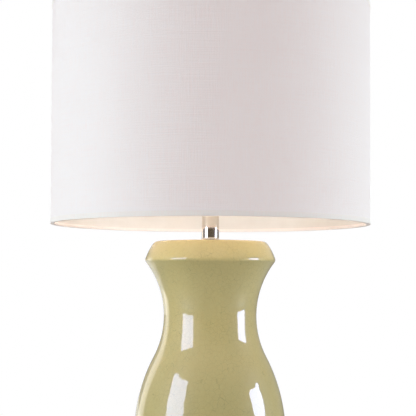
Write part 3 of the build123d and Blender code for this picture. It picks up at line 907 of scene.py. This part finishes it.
def draw_collar(outline):
    """The flare above the waist, the rounded ridge, the bevel and the jar's top corner."""
    corner = Vector((JAR_TOP_RADIUS, JAR_TOP))
    chord = RIDGE - corner
    inward = Vector((chord.y, -chord.x)).normalized()
    depth = sqrt(BEVEL_CURVE**2 - chord.length_squared / 4)
    bevel_centre = (RIDGE + corner) / 2 + inward * depth
    waist_centre = arc_centre(WAIST, RIDGE)
    waist_curve = waist_centre.x - WAIST.x
    ridge_centre = meeting(
        bevel_centre, BEVEL_CURVE - RIDGE_ROUND, waist_centre, waist_curve + RIDGE_ROUND
    )
    corner_height = JAR_TOP - JAR_TOP_ROUND
    corner_reach = sqrt((BEVEL_CURVE - JAR_TOP_ROUND) ** 2 - (corner_height - bevel_centre.y) ** 2)
    corner_centre = Vector((bevel_centre.x + corner_reach, corner_height))
    outline.arc(*toward(waist_centre, ridge_centre, waist_curve), UP)
    outline.arc(*toward(bevel_centre, ridge_centre, BEVEL_CURVE), step=0.6)
    outline.arc(*toward(bevel_centre, corner_centre, BEVEL_CURVE))
    outline.arc(corner_centre.x, JAR_TOP, step=0.8)


def outlet_block(name, width, start):
    """A square bar with rounded corners along the cord outlet's axis, to past the foot's back."""
    bm = bmesh.new()
    bmesh.ops.create_cube(bm, size=1.0)
    bmesh.ops.scale(bm, vec=(width, OUTLET_END - start, width), verts=bm.verts)
    long_edges = [
        edge for edge in bm.edges if abs(edge.verts[0].co.y - edge.verts[1].co.y) > 1e-3
    ]
    round_edges(bm, long_edges, OUTLET_CORNER, OUTLET_CORNER_STEPS)
    middle = (start + OUTLET_END) / 2
    bmesh.ops.translate(bm, vec=(0, middle, OUTLET_HEIGHT), verts=bm.verts)
    to_metres(bm)
    return add_object(name, bm)


def make_jar():
    outline = Outline(ROD_HOLE_RADIUS, FLOOR_BOTTOM)
    outline.line((RECESS_RADIUS, FLOOR_BOTTOM), (RECESS_RADIUS, FOOT_BOTTOM))
    draw_foot(outline)
    outline.arc(*share_of(BELLY, FOOT_WAIST, BELLY_SHARE), UP)
    outline.arc(*BELLY)
    outline.arc(*share_of(WAIST, BELLY, WAIST_SHARE), UP)
    outline.arc(*WAIST)
    draw_collar(outline)
    outline.line((ROD_HOLE_RADIUS, JAR_TOP), (ROD_HOLE_RADIUS, FLOOR_BOTTOM))
    jar = outline.turned("jar", JAR_SEGMENTS)
    cut(jar, outlet_block("bed", FLANGE_BED_WIDTH, FLANGE_SEAT))
    cut(jar, outlet_block("way_out", OUTLET_WIDTH, OUTLET_START))
    install(jar, "stand", "jar_glaze", "ceramic_body")


# ---- Neck and finial ----------------------------------------------------------------------------
def make_neck_ring():
    rim = SEAT_RING_LOW + SEAT_RING_RIM
    plug_top = NECK_LOW + PLUG_HEIGHT
    ring = Outline(NECK_RADIUS, NECK_LOW)
    ring.line((PLUG_RADIUS, NECK_LOW), (PLUG_RADIUS, plug_top))
    ring.line((ROD_HOLE_RADIUS, plug_top), (ROD_HOLE_RADIUS, SEAT_RING_LOW))
    ring.line((SEAT_RING_RADIUS - SEAT_RING_EDGE, SEAT_RING_LOW))
    ring.arc(SEAT_RING_RADIUS, SEAT_RING_LOW + SEAT_RING_EDGE, step=0.1)
    ring.line((SEAT_RING_RADIUS, rim - FINE_EDGE))
    ring.arc(SEAT_RING_RADIUS - FINE_EDGE, rim, step=0.1)
    ring.arc(NECK_RADIUS, NECK_LOW, heading=(-1, 0.25), step=0.2)
    install(ring.turned("neck_ring"), "stand", "neck_chrome", "seat_ring")


def make_neck_tube():
    tube = Outline(NECK_BORE, NECK_LOW)
    tube.line((NECK_RADIUS - NECK_EDGE, NECK_LOW))
    tube.arc(NECK_RADIUS, NECK_LOW + NECK_EDGE, step=0.05)
    tube.line((NECK_RADIUS, NECK_HIGH - NECK_EDGE))
    tube.arc(NECK_RADIUS - NECK_EDGE, NECK_HIGH, step=0.05)
    tube.line((NECK_BORE, NECK_HIGH), (NECK_BORE, NECK_LOW))
    install(tube.turned("neck", NECK_SEGMENTS), "stand", "neck_chrome", "neck_tube")


def make_neck_top():
    plug_bottom = NECK_HIGH - PLUG_HEIGHT
    cap = Outline(ROD_HOLE_RADIUS, plug_bottom)
    cap.line((PLUG_RADIUS, plug_bottom), (PLUG_RADIUS, NECK_HIGH))
    cap.line((CAP_RADIUS - FINE_EDGE, NECK_HIGH))
    cap.arc(CAP_RADIUS, NECK_HIGH + FINE_EDGE, step=0.1)
    cap.line((CAP_RADIUS, CAP_HIGH - CAP_ROUND))
    cap.arc(CAP_RADIUS - CAP_ROUND, CAP_HIGH, step=0.2)
    cap.line((ROD_HOLE_RADIUS, CAP_HIGH), (ROD_HOLE_RADIUS, plug_bottom))
    install(cap.turned("neck_top"), "stand", "neck_chrome", "neck_cap")


def make_finial():
    ball_seat = FINIAL_LOW + FINIAL_NECK_HEIGHT
    ball_rise = sqrt(FINIAL_BALL_RADIUS**2 - FINIAL_NECK_RADIUS**2)
    ball_start = Vector((ball_rise, FINIAL_NECK_RADIUS)).normalized()
    collar_side = FINIAL_COLLAR_RADIUS - FINIAL_COLLAR_EDGE
    collar_top = FINIAL_LOW + FINIAL_COLLAR_HEIGHT
    bore_top = FINIAL_LOW + FINIAL_BORE_DEPTH
    outline = Outline(0, bore_top)
    outline.line((FINIAL_BORE_RADIUS, bore_top), (FINIAL_BORE_RADIUS, FINIAL_LOW))
    outline.line((collar_side, FINIAL_LOW))
    outline.arc(FINIAL_COLLAR_RADIUS, FINIAL_LOW + FINIAL_COLLAR_EDGE, step=0.1)
    outline.line((FINIAL_COLLAR_RADIUS, collar_top - FINIAL_COLLAR_EDGE))
    outline.arc(collar_side, collar_top, step=0.1)
    outline.arc(FINIAL_NECK_RADIUS, ball_seat, heading=(-1, 0.2), step=0.4)
    outline.arc(0, ball_seat + ball_rise + FINIAL_BALL_RADIUS, ball_start, step=0.8)
    install(outline.turned("finial_ball"), "finial", "neck_chrome", "finial")


# ---- Switch -------------------------------------------------------------------------------------
def make_knob_ribs():
    """Fine grip ribs along the two flat sides of the switch's knob."""
    low, high = (Vector(corner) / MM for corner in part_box("switch_knob"))
    middle = (low + high) / 2
    length = KNOB_BAR_LENGTH - 2 * RIB_INSET
    start = low.y + RIB_INSET
    size = Matrix.Diagonal((RIB_WIDTH, length, 2 * RIB_RISE, 1))
    bm = bmesh.new()
    for side in (-1, 1):
        face = middle.z + side * KNOB_THICKNESS / 2
        for rib in range(RIB_COUNT):
            across = (rib - (RIB_COUNT - 1) / 2) * RIB_PITCH
            place = Matrix.Translation((middle.x + across, start + length / 2, face))
            bmesh.ops.create_cube(bm, size=1.0, matrix=place @ size)
    round_edges(bm, bm.edges[:], RIB_EDGE, RIB_EDGE_STEPS)
    to_metres(bm)
    shade_smooth(bm, FINE_CREASE)
    install(add_object("knob_ribs", bm), "switch", "switch_plastic")


# ---- Bulb ---------------------------------------------------------------------------------------
def make_globe():
    neck = Vector((BULB_NECK_RADIUS, GLASS_LOW + BULB_NECK_HEIGHT))
    equator = Vector((BULB_RADIUS, BULB_CENTRE))
    outline = Outline(0, GLASS_LOW)
    outline.line((BULB_NECK_RADIUS - GLASS_EDGE, GLASS_LOW))
    outline.arc(BULB_NECK_RADIUS, GLASS_LOW + GLASS_EDGE, step=0.2)
    outline.line(neck)
    outline.arc(*share_of(neck, equator, BULB_SHARE), UP)
    outline.arc(*equator)
    outline.arc(0, BULB_CENTRE + BULB_RADIUS, UP)
    globe = install(outline.turned("globe"), "bulb", "bulb_glass", "bulb_globe")
    # The light in the bulb has to pass its glass.
    globe.visible_shadow = False


def make_screw_base():
    """The bulb's base with a real screw thread: one wave, wound up a helix and cut off level."""
    bm = bmesh.new()
    wave = []
    for point in range(THREAD_POINTS + 1):
        part = point / THREAD_POINTS
        radius = SCREW_CREST - SCREW_DEPTH * (0.5 - 0.5 * cos(2 * pi * part))
        wave.append(bm.verts.new((radius, 0, SCREW_LOW - SCREW_PITCH + SCREW_PITCH * part)))
    for lower, upper in zip(wave, wave[1:]):
        bm.edges.new((lower, upper))
    # A spare turn at either end is cut off below.
    turns = ceil((GLASS_LOW - SCREW_LOW) / SCREW_PITCH) + 2
    bmesh.ops.spin(
        bm,
        geom=bm.verts[:] + bm.edges[:],
        cent=(0, 0, 0),
        axis=(0, 0, 1),
        dvec=(0, 0, SCREW_PITCH / SCREW_SEGMENTS),
        angle=2 * pi * turns,
        steps=SCREW_SEGMENTS * turns,
    )
    bmesh.ops.remove_doubles(bm, verts=bm.verts, dist=SCREW_DEPTH / 40)
    for height, outward in ((SCREW_LOW, -1), (GLASS_LOW, 1)):
        bmesh.ops.bisect_plane(
            bm,
            geom=bm.verts[:] + bm.edges[:] + bm.faces[:],
            plane_co=(0, 0, height),
            plane_no=(0, 0, outward),
            clear_outer=True,
        )
    bmesh.ops.remove_doubles(bm, verts=bm.verts, dist=SCREW_DEPTH / 100)
    bmesh.ops.holes_fill(bm, edges=bm.edges, sides=0)
    bmesh.ops.recalc_face_normals(bm, faces=bm.faces)
    to_metres(bm)
    shade_smooth(bm, FINE_CREASE)
    install(add_object("screw_base", bm), "bulb", "bulb_aluminium", "bulb_screw_base")


# ---- Shade --------------------------------------------------------------------------------------
def make_wall(name, outer, thickness, slot, node):
    """One stiff layer of the drum, a closed wall between the hems."""
    inner = outer - thickness
    low = SHADE_LOW + HEM_WEB + GLUE
    high = SHADE_HIGH - HEM_WEB - GLUE
    rows = [share_of(low, high, row / WALL_ROWS) for row in range(WALL_ROWS + 1)]
    outline = Outline(inner, low)
    outline.line(*[(outer, row) for row in rows])
    outline.line(*[(inner, row) for row in reversed(rows)])
    wall = outline.turned(name, SHADE_SEGMENTS)
    unroll(wall, outer)
    return install(wall, "shade", slot, node)


def make_hem(name, edge, step, node):
    """The folded tape over one rim: a band outside, a web over the edge, a fold inside."""
    band = SHADE_RADIUS + GLUE
    outer = band + HEM_THICKNESS
    fold = HEM_FOLD_RADIUS
    fold_outer = fold + HEM_THICKNESS
    web = edge + step * HEM_WEB
    corner = edge + step * HEM_CORNER
    band_end = edge + step * HEM_HEIGHT
    fold_end = edge + step * HEM_FOLD_HEIGHT
    outline = Outline(fold + HEM_CORNER, edge)
    outline.line((outer - HEM_CORNER, edge))
    outline.arc(outer, corner, step=0.1)
    outline.line((outer, band_end - step * HEM_EDGE))
    outline.arc(outer - HEM_EDGE, band_end, step=0.05)
    outline.line((band, band_end), (band, web), (fold_outer, web), (fold_outer, fold_end))
    outline.line((fold, fold_end), (fold, corner))
    outline.arc(fold + HEM_CORNER, edge, step=0.1)
    hem = outline.turned(name, SHADE_SEGMENTS)
    unroll(hem, SHADE_RADIUS)
    return install(hem, "shade", "shade_tape", node)


def make_seam():
    """The lapped end of the cloth, a strip down the back of the drum."""
    sunk = SHADE_RADIUS - SEAM_SUNK
    raised = SHADE_RADIUS + SEAM_THICKNESS
    half = SEAM_WIDTH / SHADE_RADIUS / 2
    low = SHADE_LOW + HEM_HEIGHT - SEAM_UNDER_HEM
    high = SHADE_HIGH - HEM_HEIGHT + SEAM_UNDER_HEM
    bm = bmesh.new()
    corners = [(sunk, low), (raised, low), (raised, high), (sunk, high)]
    section = bm.faces.new([bm.verts.new((radius, 0, height)) for radius, height in corners])
    start = Matrix.Rotation(pi / 2 - half, 3, "Z")
    bmesh.ops.rotate(bm, cent=(0, 0, 0), matrix=start, verts=bm.verts)
    bmesh.ops.spin(
        bm,
        geom=[section],
        cent=(0, 0, 0),
        axis=(0, 0, 1),
        angle=2 * half,
        steps=SEAM_STEPS,
    )
    bmesh.ops.recalc_face_normals(bm, faces=bm.faces)
    to_metres(bm)
    shade_smooth(bm, SOLID_CREASE)
    seam = add_object("shade_seam", bm)
    # Two layers of cloth: a dimmer painted glow, as less of the bulb's light comes through them.
    seam.data.materials.append(FINISHES["doubled_linen"])
    unroll(seam, SHADE_RADIUS)
    return install(seam, "shade", "shade_linen")


def make_shade():
    cloth = make_wall("shade_cloth", SHADE_RADIUS, FABRIC_THICKNESS, "shade_linen", "shade_fabric")
    inner = SHADE_RADIUS - FABRIC_THICKNESS - GLUE
    make_wall("shade_lining", inner, LINER_THICKNESS, "shade_backing", "shade_liner")
    hem_low = make_hem("hem_low", SHADE_LOW, 1, "shade_bottom_hem")
    hem_high = make_hem("hem_high", SHADE_HIGH, -1, "shade_top_hem")
    seam = make_seam()


# ---- The lamp -----------------------------------------------------------------------------------
def dress_solids():
    for slot, nodes in DRESSED.items():
        for node in nodes:
            dressed(node, slot)


bpy.context.scene.view_settings.view_transform = "Standard"
set_camera()
light_room()
set_lamps()
lay_floor()
set_finishes()
make_jar()
make_neck_ring()
make_neck_tube()
make_neck_top()
make_finial()
make_knob_ribs()
make_globe()
make_screw_base()
make_shade()
dress_solids()
